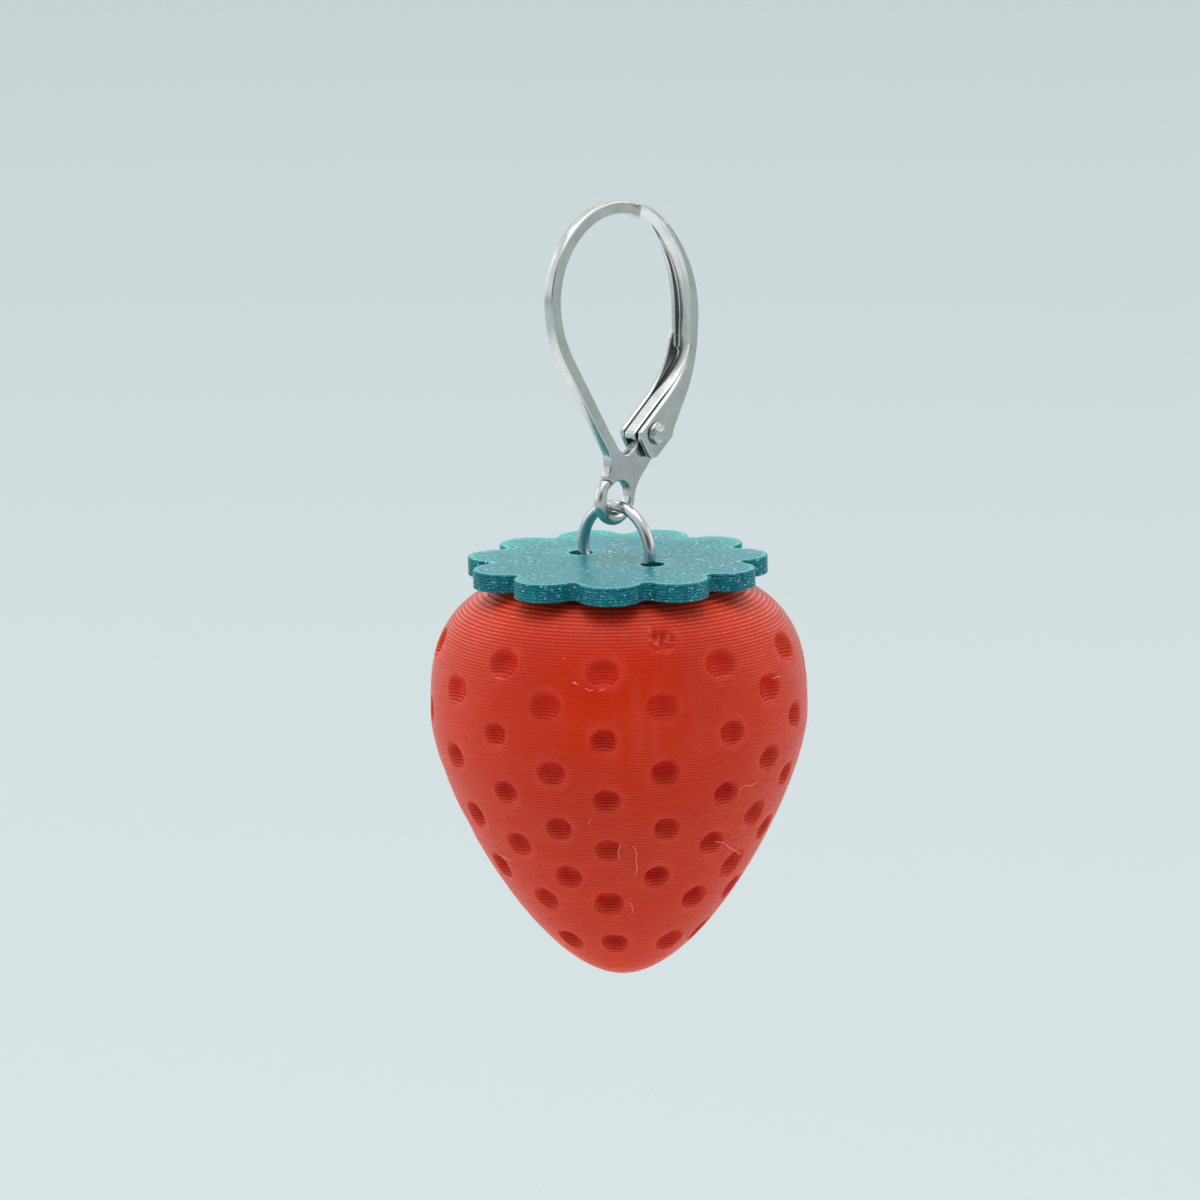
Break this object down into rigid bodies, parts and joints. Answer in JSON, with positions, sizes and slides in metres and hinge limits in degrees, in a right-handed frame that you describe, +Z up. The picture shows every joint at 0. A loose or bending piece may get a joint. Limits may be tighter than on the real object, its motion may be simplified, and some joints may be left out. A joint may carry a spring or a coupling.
{
  "type": "strawberry drop earring",
  "caption": "Drop earring: a printed plastic strawberry with a scalloped calyx hangs on a jump ring from a steel ear hook with a hinged closing lever.",
  "frame": {"origin": "inside top of the hook's bow, at the middle of its sheet: the point the earring hangs by", "axes": "+Z up along the hanging earring; the hook's flat sheet lies in the YZ plane with its lever on the +Y side; the jump ring lies in the XZ plane"},
  "size_m": [0.0226, 0.0226, 0.0472],
  "materials": {
    "hook_steel": "tumbled satin stainless steel, edges polished bright",
    "ring_steel": "polished round stainless wire",
    "calyx_plastic": "printed teal plastic with fine glitter, satin first layer on top",
    "berry_plastic": "printed translucent red plastic with fine layer lines"
  },
  "bodies": {
    "hook": {"hook": "hook_steel", "rivet": "hook_steel"},
    "lever": {"lever": "hook_steel"},
    "ring": {"jump_ring": "ring_steel"},
    "drop": {"calyx": "calyx_plastic", "berry": "berry_plastic"}
  },
  "joints": [
    {"name": "lever_hinge", "type": "hinge", "parent": "hook", "child": "lever", "pos_m": [0, 0.00275, -0.01356], "axis": [-1, 0, 0], "range_deg": [0, 75]},
    {"name": "ring_swing", "type": "hinge", "parent": "hook", "child": "ring", "pos_m": [0, 0, -0.01766], "axis": [1, 0, 0], "range_deg": [-60, 20]},
    {"name": "drop_rock", "type": "hinge", "parent": "ring", "child": "drop", "pos_m": [0, 0, -0.02036], "axis": [0, 1, 0], "range_deg": [-60, 60]}
  ]
}
